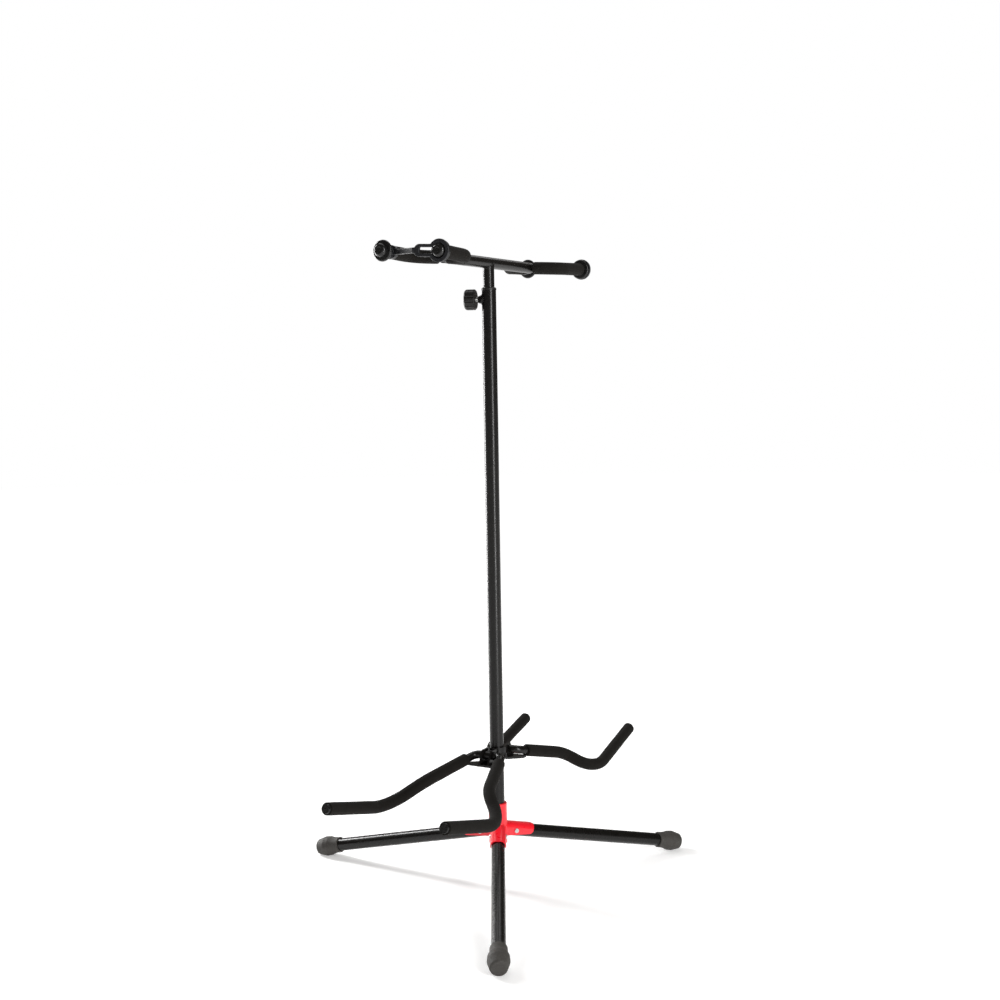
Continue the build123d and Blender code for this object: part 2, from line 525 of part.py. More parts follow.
for side, facing in (("front", 1), ("rear", -1)):
    # Yoke plane: local x runs across, local y runs from the tips towards the crossbar.
    across = YOKE_ACROSS * facing
    inward = Vector(0, facing * cos(radians(YOKE_RISE)), -sin(radians(YOKE_RISE)))
    inward = (inward - across * inward.dot(across)).normalized()
    yoke = Plane(origin=(0, -facing * YOKE_BASE, BAR_Z), x_dir=across, z_dir=across.cross(inward))

    def spot(x, y, z=0):
        return yoke.from_local_coords(Vector(x, y, z))

    yoke_tube = swept_tube([spot(-YOKE_HALF_WIDTH, FLANGE_Y), spot(-YOKE_HALF_WIDTH, 0),
                            spot(YOKE_HALF_WIDTH, 0), spot(YOKE_HALF_WIDTH, FLANGE_Y)],
                           [YOKE_BEND, YOKE_BEND], YOKE_R, YOKE_R - WALL)
    save(yoke_tube, f"yoke_tube_{side}")

    # The strap's loop sits on the arm at -X of the front yoke and of the rear yoke alike.
    loop_hand = -facing
    for hand, hand_name in ((-facing, "left"), (facing, "right")):
        foam_stop = FLANGE_Y + FOAM_SPACE
        if hand == loop_hand:
            foam_stop += STRAP_LOOP_Y + STRAP_LOOP_WIDTH / 2
        foam = swept_tube([spot(hand * YOKE_HALF_WIDTH, foam_stop), spot(hand * YOKE_HALF_WIDTH, 0),
                           spot(hand * FOAM_START, 0)], [YOKE_BEND], YOKE_FOAM_R, YOKE_R + FIXED)
        save(foam, f"yoke_foam_{side}_{hand_name}")

        with BuildPart() as yoke_cap:
            cap_plane = Plane(origin=spot(hand * YOKE_HALF_WIDTH, FLANGE_Y), x_dir=-yoke.y_dir,
                              z_dir=yoke.z_dir)
            with BuildSketch(cap_plane):
                with BuildLine():
                    Polyline((0, 0), (0, RIM_R))
                    TangentArc((0, RIM_R), RIM_TOP, tangent=(0, 1))
                    TangentArc(RIM_TOP, (CAP_FLANGE, RIM_R), tangent=(1, 0))
                    Polyline((CAP_FLANGE, RIM_R), (CAP_FLANGE, CAP_DOME_R), DOME_SHOULDER)
                    TangentArc(DOME_SHOULDER, DOME_CROWN, tangent=(1, 0))
                    Polyline(DOME_CROWN, (CAP_HEIGHT, 0), (0, 0))
                make_face()
            revolve(axis=Axis(cap_plane.origin, cap_plane.x_dir))
            with BuildSketch(Plane(origin=cap_plane.origin, z_dir=yoke.y_dir)):
                Circle(YOKE_R - WALL - FIXED)
            extrude(amount=CAP_SPIGOT)
        save(yoke_cap, f"yoke_cap_{side}_{hand_name}")

    def strap_x(x):
        """Local x counted from the looped arm's side of the yoke."""
        return -loop_hand * x

    face_up = Plane(origin=yoke.origin - yoke.z_dir * (STRAP_BAND_HEIGHT / 2), x_dir=yoke.x_dir,
                    z_dir=yoke.z_dir)
    half = STRAP_THICKNESS / 2
    hinge_y = FLANGE_Y + STRAP_HINGE_Y
    root_x = strap_x(STRAP_BAND_ROOT - YOKE_HALF_WIDTH)
    band_end_x = strap_x(STRAP_HINGE_X - STRAP_THICKNESS / 2 - GAP)
    with BuildPart() as strap_loop:
        loop_front = FLANGE_Y + STRAP_LOOP_Y - STRAP_LOOP_WIDTH / 2
        loop_middle = FLANGE_Y + STRAP_LOOP_Y
        with BuildSketch(Plane(origin=spot(0, loop_front), x_dir=yoke.x_dir, z_dir=yoke.y_dir)):
            with Locations((strap_x(-YOKE_HALF_WIDTH), 0)):
                Circle(STRAP_LOOP_R)
            with Locations((strap_x(STRAP_LOOP_EAR[0] - YOKE_HALF_WIDTH), 0)):
                Circle(STRAP_LOOP_R - STRAP_LOOP_EAR[1])
        extrude(amount=STRAP_LOOP_WIDTH)
        with BuildSketch(Plane(origin=spot(loop_hand * YOKE_HALF_WIDTH, FLANGE_Y + GAP), z_dir=yoke.y_dir)):
            Circle(STRAP_SLEEVE_R)
        extrude(amount=STRAP_LOOP_Y - GAP)
        with BuildSketch(face_up):
            with BuildLine():
                Polyline((root_x, loop_middle - half), (band_end_x, hinge_y - half),
                         (band_end_x, hinge_y + half), (root_x, loop_middle + half), close=True)
            make_face()
            with Locations((strap_x(STRAP_HINGE_X), hinge_y)):
                Circle(half + GAP, mode=Mode.SUBTRACT)
        extrude(amount=STRAP_BAND_HEIGHT)
        with BuildSketch(Plane(origin=spot(loop_hand * YOKE_HALF_WIDTH, FLANGE_Y), z_dir=yoke.y_dir)):
            Circle(YOKE_R + FIXED)
        extrude(amount=STRAP_LOOP_Y + STRAP_LOOP_WIDTH, mode=Mode.SUBTRACT)
    save(strap_loop, f"strap_loop_{side}")

    with BuildPart() as strap:
        ring_back = FLANGE_Y - CAP_FLANGE - GAP
        ring_middle = ring_back - STRAP_THICKNESS / 2
        slot_start = STRAP_HEAD_START + STRAP_SLOT_INSET
        with BuildSketch(face_up):
            with Locations((strap_x(STRAP_HINGE_X), hinge_y)):
                Circle(half)
            with BuildLine():
                Polyline((strap_x(STRAP_HINGE_X), hinge_y - half),
                         (strap_x(STRAP_BEND_X[0]), ring_middle - half),
                         (strap_x(STRAP_HEAD_START), ring_middle - half),
                         (strap_x(STRAP_HEAD_START), ring_middle + half),
                         (strap_x(STRAP_BEND_X[1]), ring_middle + half),
                         (strap_x(STRAP_HINGE_X), hinge_y + half), close=True)
            make_face()
        extrude(amount=STRAP_BAND_HEIGHT)
        with BuildSketch(Plane(origin=spot(0, ring_back), x_dir=yoke.x_dir, z_dir=-yoke.y_dir)):
            with Locations((strap_x(YOKE_HALF_WIDTH), 0)):
                Circle(STRAP_RING_R)
            with Locations((strap_x(STRAP_HEAD_START), 0)):
                Circle(STRAP_HEAD_HEIGHT / 2)
            with Locations((strap_x((STRAP_HEAD_START + YOKE_HALF_WIDTH) / 2), 0)):
                Rectangle(YOKE_HALF_WIDTH - STRAP_HEAD_START, STRAP_HEAD_HEIGHT)
            with Locations((strap_x(YOKE_HALF_WIDTH), 0)):
                Circle(STRAP_HOLE_R, mode=Mode.SUBTRACT)
            with Locations((strap_x(slot_start), 0)):
                Circle(STRAP_SLOT_HEIGHT / 2, mode=Mode.SUBTRACT)
            with Locations((strap_x((slot_start + YOKE_HALF_WIDTH) / 2), 0)):
                Rectangle(YOKE_HALF_WIDTH - slot_start, STRAP_SLOT_HEIGHT, mode=Mode.SUBTRACT)
        extrude(amount=STRAP_THICKNESS)
    save(strap, f"strap_{side}")
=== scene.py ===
import json
from math import acos, asin, cos, floor, pi, radians, sin, tan

import bpy
from mathutils import Matrix, Vector, noise


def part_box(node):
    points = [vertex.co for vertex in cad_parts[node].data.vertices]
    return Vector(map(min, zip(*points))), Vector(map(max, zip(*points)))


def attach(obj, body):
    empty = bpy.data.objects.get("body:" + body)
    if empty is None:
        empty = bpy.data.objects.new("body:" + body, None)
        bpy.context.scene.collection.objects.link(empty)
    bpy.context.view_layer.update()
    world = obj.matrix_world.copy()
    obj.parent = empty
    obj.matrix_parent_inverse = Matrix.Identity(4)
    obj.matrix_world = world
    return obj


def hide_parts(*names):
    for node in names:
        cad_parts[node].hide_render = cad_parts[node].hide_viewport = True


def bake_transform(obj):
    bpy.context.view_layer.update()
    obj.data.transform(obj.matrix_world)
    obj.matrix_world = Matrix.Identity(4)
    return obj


# Looks of the guitar rack: finishes for the CAD pieces, foam sleeves, rubber straps, the clamp's
# thread and weld beads. Lengths are in metres, in the CAD's own frame.

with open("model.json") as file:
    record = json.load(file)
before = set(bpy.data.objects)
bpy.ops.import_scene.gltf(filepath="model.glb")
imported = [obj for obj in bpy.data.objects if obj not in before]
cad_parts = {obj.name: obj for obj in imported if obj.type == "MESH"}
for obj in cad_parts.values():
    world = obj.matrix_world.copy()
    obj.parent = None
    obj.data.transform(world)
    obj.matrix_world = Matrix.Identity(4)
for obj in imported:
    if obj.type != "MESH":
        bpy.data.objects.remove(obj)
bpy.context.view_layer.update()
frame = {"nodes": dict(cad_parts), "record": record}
nodes = frame["nodes"]
scene = bpy.context.scene
MM = 0.001

# ---- finishes -----------------------------------------------------------------------------------


class Finish:
    """One procedural material: a shader fed by textures that are laid out in the piece's own space."""

    def __init__(self, name, colour, roughness, **constants):
        self.material = bpy.data.materials.new(name)
        self.material.use_nodes = True
        self.tree = self.material.node_tree
        self.shader = self.tree.nodes["Principled BSDF"]
        self.shader.inputs["Base Color"].default_value = (*colour, 1)
        self.shader.inputs["Roughness"].default_value = roughness
        for socket, value in constants.items():
            self.shader.inputs[socket.replace("_", " ")].default_value = value
        self.place = self.tree.nodes.new("ShaderNodeTexCoord").outputs["Object"]
        self.normal = None

    def add(self, kind, **inputs):
        node = self.tree.nodes.new(kind)
        for socket, value in inputs.items():
            target = node.inputs[socket.replace("_", " ")]
            if isinstance(value, bpy.types.NodeSocket):
                self.tree.links.new(value, target)
            else:
                target.default_value = value
        return node

    def grain(self, size, detail=3.0, stretch=None):
        """Soft noise, 0 to 1, with features of that size."""
        place = self.place
        if stretch:
            place = self.add("ShaderNodeMapping", Vector=place, Scale=stretch).outputs["Vector"]
        return self.add("ShaderNodeTexNoise", Vector=place, Scale=1 / size, Detail=detail).outputs["Fac"]

    def cells(self, size):
        return self.add("ShaderNodeTexVoronoi", Vector=self.place, Scale=1 / size).outputs["Distance"]

    def ramp(self, value, low, high, out_low=0.0, out_high=1.0):
        node = self.add("ShaderNodeMapRange", Value=value, From_Min=low, From_Max=high, To_Min=out_low,
                        To_Max=out_high)
        return node.outputs["Result"]

    def colours(self, mask, low, high):
        """Base colour that goes with the mask from low, a colour or a socket, to the colour high."""
        node = self.tree.nodes.new("ShaderNodeMix")
        node.data_type = "RGBA"
        factor, under, over = node.inputs[0], node.inputs[6], node.inputs[7]
        self.tree.links.new(mask, factor)
        if isinstance(low, bpy.types.NodeSocket):
            self.tree.links.new(low, under)
        else:
            under.default_value = (*low, 1)
        over.default_value = (*high, 1)
        mixed = node.outputs[2]
        self.tree.links.new(mixed, self.shader.inputs["Base Color"])
        return mixed

    def roughness(self, mask, low, high):
        self.tree.links.new(self.ramp(mask, 0.3, 0.7, low, high), self.shader.inputs["Roughness"])

    def bump(self, height, depth):
        """Raises the surface by up to that depth."""
        node = self.add("ShaderNodeBump", Height=height, Strength=1.0, Distance=depth)
        if self.normal:
            self.tree.links.new(self.normal, node.inputs["Normal"])
        self.normal = node.outputs["Normal"]
        self.tree.links.new(self.normal, self.shader.inputs["Normal"])


def powder_coat(name, rubbed=False):
    paint = Finish(name, (0.012, 0.0115, 0.011), 0.3, Specular_IOR_Level=0.3)
    base = paint.colours(paint.grain(0.03), (0.0028, 0.0025, 0.0022), (0.0048, 0.0043, 0.0038))
    dust = paint.ramp(paint.grain(0.0006, detail=1.0), 0.70, 0.78)
    base = paint.colours(dust, base, (0.02, 0.019, 0.017))
    if rubbed:
        streaks = paint.ramp(paint.grain(0.0011, detail=2.0, stretch=(1, 1, 0.02)), 0.6, 0.8)
        paint.colours(streaks, base, (0.024, 0.023, 0.021))
    paint.roughness(paint.grain(0.012), 0.24, 0.30)
    paint.bump(paint.grain(0.0022, detail=1.0), 0.014 * MM)
    paint.bump(paint.grain(0.0004, detail=1.0), 0.003 * MM)
    return paint.material


def red_enamel():
    paint = Finish("red_enamel", (0.9, 0.008, 0.02), 0.3, Specular_IOR_Level=0.4, Coat_Weight=0.5,
                   Coat_Roughness=0.12)
    base = paint.colours(paint.grain(0.02), (0.84, 0.006, 0.016), (0.94, 0.009, 0.028))
    specks = paint.ramp(paint.grain(0.0008, detail=1.0), 0.72, 0.78)
    paint.colours(specks, base, (0.66, 0.004, 0.01))
    paint.roughness(paint.grain(0.008), 0.26, 0.38)
    paint.bump(paint.grain(0.0026, detail=1.0), 0.005 * MM)
    return paint.material


def zinc():
    steel = Finish("zinc_plate", (0.6, 0.6, 0.59), 0.3, Metallic=1.0)
    steel.colours(steel.grain(0.0012), (0.48, 0.48, 0.46), (0.68, 0.69, 0.69))
    steel.roughness(steel.grain(0.0005), 0.22, 0.42)
    steel.bump(steel.grain(0.0002, detail=2.0), 0.004 * MM)
    return steel.material


def foot_rubber():
    rubber = Finish("foot_rubber", (0.05, 0.048, 0.044), 0.75)
    base = rubber.colours(rubber.grain(0.006), (0.032, 0.029, 0.026), (0.052, 0.048, 0.043))
    scuffs = rubber.ramp(rubber.grain(0.0016, detail=4.0), 0.62, 0.76)
    rubber.colours(scuffs, base, (0.1, 0.095, 0.088))
    rubber.roughness(rubber.grain(0.002), 0.62, 0.85)
    rubber.bump(rubber.grain(0.0009), 0.05 * MM)
    rubber.bump(rubber.grain(0.0003, detail=1.0), 0.02 * MM)
    return rubber.material


def closed_cell_foam():
    foam = Finish("closed_cell_foam", (0.018, 0.017, 0.015), 0.9, Specular_IOR_Level=0.08,
                  Sheen_Weight=0.02, Sheen_Roughness=0.6)
    base = foam.colours(foam.grain(0.014), (0.0068, 0.0060, 0.0051), (0.0105, 0.0094, 0.0081))
    pores = foam.ramp(foam.cells(0.00075), 0.12, 0.42)
    foam.colours(foam.ramp(foam.grain(0.0005, detail=2.0), 0.62, 0.8), base, (0.020, 0.018, 0.016))
    foam.roughness(foam.grain(0.003), 0.8, 0.95)
    foam.bump(pores, 0.05 * MM)
    foam.bump(foam.grain(0.0025), 0.08 * MM)
    return foam.material


def moulded_rubber(name, low, high, rough):
    rubber = Finish(name, low, rough[0], Specular_IOR_Level=0.4, Coat_Weight=0.08, Coat_Roughness=0.3)
    base = rubber.colours(rubber.grain(0.01), low, high)
    bloom = rubber.ramp(rubber.grain(0.004, detail=4.0), 0.58, 0.8)
    rubber.colours(bloom, base, tuple(1.7 * channel for channel in high))
    rubber.roughness(rubber.grain(0.003), *rough)
    rubber.bump(rubber.grain(0.0007, detail=2.0), 0.012 * MM)
    return rubber.material


def moulded_plastic():
    plastic = Finish("moulded_plastic", (0.014, 0.0135, 0.013), 0.4, Specular_IOR_Level=0.35)
    base = plastic.colours(plastic.grain(0.008), (0.0048, 0.0044, 0.004), (0.0085, 0.0079, 0.0073))
    plastic.colours(plastic.ramp(plastic.grain(0.0012), 0.66, 0.8), base, (0.018, 0.017, 0.016))
    plastic.roughness(plastic.grain(0.002), 0.34, 0.5)
    plastic.bump(plastic.cells(0.00045), 0.018 * MM)
    return plastic.material


def brass():
    metal = Finish("brass", (0.6, 0.42, 0.17), 0.35, Metallic=1.0)
    metal.colours(metal.grain(0.001), (0.5, 0.34, 0.13), (0.68, 0.5, 0.22))
    metal.roughness(metal.grain(0.0006), 0.28, 0.45)
    metal.bump(metal.grain(0.0002), 0.004 * MM)
    return metal.material


def black_oxide():
    steel = Finish("black_oxide", (0.03, 0.03, 0.032), 0.35, Metallic=0.9)
    steel.colours(steel.grain(0.0015), (0.022, 0.022, 0.024), (0.045, 0.044, 0.043))
    steel.roughness(steel.grain(0.0006), 0.28, 0.45)
    steel.bump(steel.grain(0.0003), 0.005 * MM)
    return steel.material


PAINT = powder_coat("black_powder_coat")
RUBBED_PAINT = powder_coat("rubbed_powder_coat", rubbed=True)
STRAP_RUBBER = moulded_rubber("strap_rubber", (0.006, 0.0062, 0.0078), (0.0095, 0.010, 0.0125), (0.4, 0.52))
CAP_RUBBER = moulded_rubber("cap_rubber", (0.0048, 0.0048, 0.0047), (0.0078, 0.0078, 0.0076), (0.22, 0.34))
FINISHES = {
    "black_paint": PAINT,
    "red_paint": red_enamel(),
    "zinc_steel": zinc(),
    "foot_rubber": foot_rubber(),
    "black_foam": closed_cell_foam(),
    "black_rubber": CAP_RUBBER,
    "black_plastic": moulded_plastic(),
    "brass_pad": brass(),
    "black_steel_screw": black_oxide(),
}
slot_of = {part["node"]: part["material_slot"] for part in frame["record"]["subparts"]}

for name, piece in nodes.items():
    piece.data.materials.clear()
    piece.data.materials.append(RUBBED_PAINT if name == "upper_tube" else FINISHES[slot_of[name]])

# ---- mesh helpers -------------------------------------------------------------------------------


def mesh_piece(name, points, faces, material, body):
    mesh = bpy.data.meshes.new(name)
    mesh.from_pydata([tuple(p) for p in points], [], faces)
    mesh.materials.append(material)
    mesh.shade_smooth()
    piece = bpy.data.objects.new(name, mesh)
    scene.collection.objects.link(piece)
    if body:
        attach(piece, body)
    return piece


def route(corners, radii, step):
    """Points, tangents and curvature vectors along straight runs joined by tangent bends."""
    corners = [Vector(c) for c in corners]
    stations = []

    def straight(a, b):
        length = (b - a).length
        count = max(1, round(length / step))
        for i in range(count):
            stations.append((a.lerp(b, i / count), (b - a) / length, Vector()))

    here = corners[0]
    for before, corner, after, radius in zip(corners, corners[1:], corners[2:], radii):
        back, on = (before - corner).normalized(), (after - corner).normalized()
        half = acos(max(-1, min(1, back.dot(on)))) / 2
        reach = radius / tan(half)
        centre = corner + (back + on).normalized() * (radius / sin(half))
        straight(here, corner + back * reach)
        turn = pi - 2 * half
        spoke, tangent = (corner + back * reach - centre).normalized(), -back
        count = max(2, round(turn * radius / step))
        for i in range(count):
            a = turn * i / count
            out = spoke * cos(a) + tangent * sin(a)
            stations.append((centre + out * radius, tangent * cos(a) - spoke * sin(a), -out / radius))
        here = corner + on * reach
    straight(here, corners[-1])
    stations.append((corners[-1], (corners[-1] - corners[-2]).normalized(), Vector()))
    return stations


def ring_frames(stations):
    """Adds to each station a pair of directions square to the route that don't twist."""
    side = stations[0][1].orthogonal().normalized()
    framed = []
    for place, tangent, curve in stations:
        side = (side - tangent * side.dot(tangent)).normalized()
        framed.append((place, tangent, curve, side, tangent.cross(side)))
    return framed


def closed_rings(rings, around):
    """Faces that join the rings one to the next, and the last to the first."""
    faces = []
    for i in range(len(rings)):
        a, b = i * around, (i + 1) % len(rings) * around
        faces += [(a + j, a + (j + 1) % around, b + (j + 1) % around, b + j) for j in range(around)]
    return faces


def tube_rings(framed, profile, around, shape=None):
    """Rings of points: profile gives each ring's station, its shift along the route and its radius."""
    points = []
    for index, shift, radius in profile:
        place, tangent, curve, side, up = framed[index]
        for j in range(around):
            a = 2 * pi * j / around
            out = side * cos(a) + up * sin(a)
            r = radius + (shape(index, place, curve, out) if shape else 0)
            points.append(place + tangent * shift + out * r)
    return points


# ---- foam sleeves -------------------------------------------------------------------------------
FOAM_STEP = 1.1 * MM
FOAM_AROUND = 56
FOAM_SLACK = 1 * MM             # how far a sleeve may stand out of its CAD solid's box
FOAM_EDGE = 0.9 * MM            # rounding of a sleeve's ends
FOAM_DISH = 0.5 * MM            # the ends are hollowed towards the steel tube, this far out from it
FADE = 12 * MM                  # wrinkles fade out over this length at the ends
WRINKLE_PITCH = 4.6 * MM
WRINKLE_BIAS = 0.4              # folds go further in than they stand out
WRINKLE_DEPTH, STRETCH_THINNING = 0.5 * MM, 0.45 * MM
WAVE_DEPTH, DENT_DEPTH = 0.16 * MM, 0.05 * MM
WANDER_RATE, WAVE_RATE, DENT_RATE = 90, 45, 240     # noise cells per metre


def foam_sleeve(name, corners, radii, inner, outer, body):
    framed = ring_frames(route(corners, radii, FOAM_STEP))
    last = len(framed) - 1
    wander = Vector((len(name), corners[0][0] * 1000, corners[0][1] * 1000))

    def unevenness(index, place, curve, out):
        """Wrinkles inside the bends, thinner foam outside them, and a wavy, slightly dented skin."""
        inside = curve.dot(out) * outer
        end = min(1, index * FOAM_STEP / FADE, (last - index) * FOAM_STEP / FADE)
        wandering = 2 * noise.noise(place * WANDER_RATE + wander)
        ripple = sin(index * FOAM_STEP / WRINKLE_PITCH * 2 * pi + wandering)
        wrinkle = WRINKLE_DEPTH * max(0, inside) * (ripple - WRINKLE_BIAS) * end
        thin = STRETCH_THINNING * min(0, inside)
        waves = WAVE_DEPTH * noise.noise(place * WAVE_RATE + wander)
        dents = DENT_DEPTH * noise.noise(place * DENT_RATE + wander)
        return wrinkle + thin + waves + dents

    edge = [(FOAM_EDGE * (1 - cos(a)), FOAM_EDGE * (1 - sin(a))) for a in (0, pi / 8, pi / 4, 3 * pi / 8)]
    end_face = [(0.5 * FOAM_DISH, inner), (0.2 * FOAM_DISH, inner + FOAM_DISH), (0, (inner + outer) / 2)]
    profile = [(0, shift, radius) for shift, radius in end_face]
    profile += [(0, shift, outer - drop) for shift, drop in edge]
    profile += [(i, 0, outer) for i in range(1, last)]
    profile += [(last, -shift, outer - drop) for shift, drop in reversed(edge)]
    profile += [(last, -shift, radius) for shift, radius in reversed(end_face)]
    outside = len(profile)
    profile += [(i, 0, inner) for i in range(last - 1, 0, -1)]
    points = tube_rings(framed, profile[:outside], FOAM_AROUND, unevenness)
    points += tube_rings(framed, profile[outside:], FOAM_AROUND)
    # The first and last ring touch the steel tube, so they stay round.
    for ring in (0, outside - 1):
        first = ring * FOAM_AROUND
        points[first:first + FOAM_AROUND] = tube_rings(framed, [profile[ring]], FOAM_AROUND)
    piece = mesh_piece(f"{name}_sleeve", points, closed_rings(profile, FOAM_AROUND), FINISHES["black_foam"],
                       body)
    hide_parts(name)
    low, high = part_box(name)
    for point in piece.data.vertices:
        for axis in range(3):
            assert low[axis] - FOAM_SLACK < point.co[axis] < high[axis] + FOAM_SLACK, name


# Cradles: corners of an arm's centre line as (across, out from the post, height), tip first.
CRADLE_RUN = ((86, 270, 169), (86, 140, 137), (49.5, 108.5, 166.3), (20, 22, 188))
CRADLE_FOAM_BARE = 18 * MM      # bare tube between the foam and the last corner
CRADLE_BEND = 50 * MM
CRADLE_INNER, CRADLE_OUTER = 5.52 * MM, 8.2 * MM
CRADLE_TURNS = {"front": 0.0, "rear": radians(183.4)}

for side, turn in CRADLE_TURNS.items():
    turned = Matrix.Rotation(turn, 3, "Z")
    for hand, hand_name in ((-1, "left"), (1, "right")):
        corners = [turned @ Vector((hand * x * MM, -out * MM, z * MM)) for x, out, z in CRADLE_RUN]
        run = corners[-1] - corners[-2]
        corners[-1] = corners[-2] + run.normalized() * (run.length - CRADLE_FOAM_BARE)
        foam_sleeve(f"cradle_foam_{side}_{hand_name}", corners, [CRADLE_BEND] * 2,
                    CRADLE_INNER, CRADLE_OUTER, f"cradle_{side}")

# Yokes: each lies in its own plane, rolled and rising a little.
YOKE_BASE, BAR_Z = 113 * MM, 848 * MM
YOKE_HALF_WIDTH, YOKE_REACH, YOKE_BEND = 42.4 * MM, 70 * MM, 25 * MM
YOKE_ROLL, YOKE_RISE = radians(3.6), radians(2.2)
YOKE_INNER, YOKE_OUTER = 6.02 * MM, 8.6 * MM
FOAM_START = 8 * MM
FOAM_STOP, FOAM_STOP_AT_LOOP = 0.5 * MM, 16.5 * MM


def yoke_frame(facing):
    """Origin at the crossbar's end, and the directions across, towards the crossbar and up."""
    across = Vector((cos(YOKE_ROLL), 0, -sin(YOKE_ROLL))) * facing
    inward = Vector((0, facing * cos(YOKE_RISE), -sin(YOKE_RISE)))
    inward = (inward - across * inward.dot(across)).normalized()
    return Vector((0, -facing * YOKE_BASE, BAR_Z)), across, inward, across.cross(inward)


for side, facing in (("front", 1), ("rear", -1)):
    origin, across, inward, up = yoke_frame(facing)
    for hand, hand_name in ((-facing, "left"), (facing, "right")):
        stop = -YOKE_REACH + (FOAM_STOP_AT_LOOP if hand == -facing else FOAM_STOP)
        tip = origin + across * (hand * YOKE_HALF_WIDTH) + inward * stop
        bend = origin + across * (hand * YOKE_HALF_WIDTH)
        start = origin + across * (hand * FOAM_START)
        foam_sleeve(f"yoke_foam_{side}_{hand_name}", [tip, bend, start], [YOKE_BEND],
                    YOKE_INNER, YOKE_OUTER, "head")

# ---- rubber straps ------------------------------------------------------------------------------
STRAP_VOXEL = 0.42 * MM
STRAP_HINGE_X, STRAP_HINGE_Y = -26.5 * MM, -60.6 * MM
STRAP_THICKNESS, STRAP_BAND_HEIGHT = 3.4 * MM, 7 * MM
BAND_SLANT = radians(22)        # the band runs outwards as it leaves the loop
BRIDGE_HALF_LENGTH, BRIDGE_FILL = 3.4 * MM, 0.43    # a box that joins the band across the hinge
BOX_FACES = ((0, 1, 3, 2), (4, 6, 7, 5), (0, 4, 5, 1), (2, 3, 7, 6), (0, 2, 6, 4), (1, 5, 7, 3))
SMOOTHING = {"factor": 0.6, "iterations": 5}


def joined_copy(name, sources):
    """One mesh from copies of other objects' meshes."""
    points, faces = [], []
    for source in sources:
        offset = len(points)
        points += [source.matrix_world @ v.co for v in source.data.vertices]
        faces += [[offset + v for v in face.vertices] for face in source.data.polygons]
    return mesh_piece(name, points, faces, STRAP_RUBBER, None)


for side, facing in (("front", 1), ("rear", -1)):
    origin, across, inward, up = yoke_frame(facing)
    towards_cap = facing            # the looped arm is at -X of both yokes
    hinge = origin + across * (STRAP_HINGE_X * towards_cap) + inward * STRAP_HINGE_Y
    band = across * (towards_cap * cos(BAND_SLANT)) - inward * sin(BAND_SLANT)
    half_length = band * BRIDGE_HALF_LENGTH
    half_thickness = up.cross(band) * (BRIDGE_FILL * STRAP_THICKNESS)
    half_height = up * (BRIDGE_FILL * STRAP_BAND_HEIGHT)
    bridge_points = [hinge + half_length * x + half_thickness * y + half_height * z
                     for x in (-1, 1) for y in (-1, 1) for z in (-1, 1)]
    bridge = mesh_piece(f"bridge_{side}", bridge_points, BOX_FACES, STRAP_RUBBER, None)
    strap = joined_copy(f"rubber_strap_{side}",
                        [nodes[f"strap_loop_{side}"], nodes[f"strap_{side}"], bridge])
    bpy.data.objects.remove(bridge)
    for kind, settings in (("REMESH", {"mode": "VOXEL", "voxel_size": STRAP_VOXEL}), ("SMOOTH", SMOOTHING)):
        modifier = strap.modifiers.new(kind.lower(), kind)
        for key, value in settings.items():
            setattr(modifier, key, value)
    depsgraph = bpy.context.evaluated_depsgraph_get()
    solid = bpy.data.meshes.new_from_object(strap.evaluated_get(depsgraph))
    strap.modifiers.clear()
    strap.data = solid
    solid.shade_smooth()
    solid.materials.clear()
    solid.materials.append(STRAP_RUBBER)
    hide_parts(f"strap_loop_{side}", f"strap_{side}")
    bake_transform(strap)

# ---- clamp screw's thread -----------------------------------------------------------------------
THREAD_PITCH = 1.0 * MM
THREAD_STEP = THREAD_PITCH / 10
THREAD_DEPTH = 0.45 * MM
THREAD_AROUND = 40
THREAD_CREST = 1.25             # above 1 the crests are flat
END_CHAMFER, CHAMFER_SLOPE = 0.6 * MM, 0.8
CLAMP_Z = 800 * MM
CLAMP_AZIMUTH = radians(199)
CLAMP_OUT = Vector((cos(CLAMP_AZIMUTH), sin(CLAMP_AZIMUTH), 0))
SCREW_FROM, SCREW_TO, SCREW_R = 10.05 * MM, 26.4 * MM, 2.95 * MM

side_dir, up_dir = Vector((0, 0, 1)), CLAMP_OUT.cross(Vector((0, 0, 1)))
steps = round((SCREW_TO - SCREW_FROM) / THREAD_STEP)
thread_points = []
for i in range(steps + 1):
    along = SCREW_FROM + (SCREW_TO - SCREW_FROM) * i / steps
    for j in range(THREAD_AROUND):
        turn = along / THREAD_PITCH - j / THREAD_AROUND
        flank = abs(2 * (turn - floor(turn)) - 1)       # 1 at the crest, 0 in the root
        r = SCREW_R - THREAD_DEPTH * (1 - min(1, flank * THREAD_CREST))
        r = min(r, SCREW_R - END_CHAMFER + min(along - SCREW_FROM, SCREW_TO - along) * CHAMFER_SLOPE)
        a = 2 * pi * j / THREAD_AROUND
        thread_points.append(Vector((0, 0, CLAMP_Z)) + CLAMP_OUT * along
                             + (side_dir * cos(a) + up_dir * sin(a)) * r)
thread_faces = [(i * THREAD_AROUND + j, i * THREAD_AROUND + (j + 1) % THREAD_AROUND,
                 (i + 1) * THREAD_AROUND + (j + 1) % THREAD_AROUND, (i + 1) * THREAD_AROUND + j)
                for i in range(steps) for j in range(THREAD_AROUND)]
thread_faces += [tuple(reversed(range(THREAD_AROUND))),
                 tuple(steps * THREAD_AROUND + j for j in range(THREAD_AROUND))]
screw = mesh_piece("clamp_screw_thread", thread_points, thread_faces, FINISHES["zinc_steel"], "clamp_knob")
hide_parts("clamp_screw")

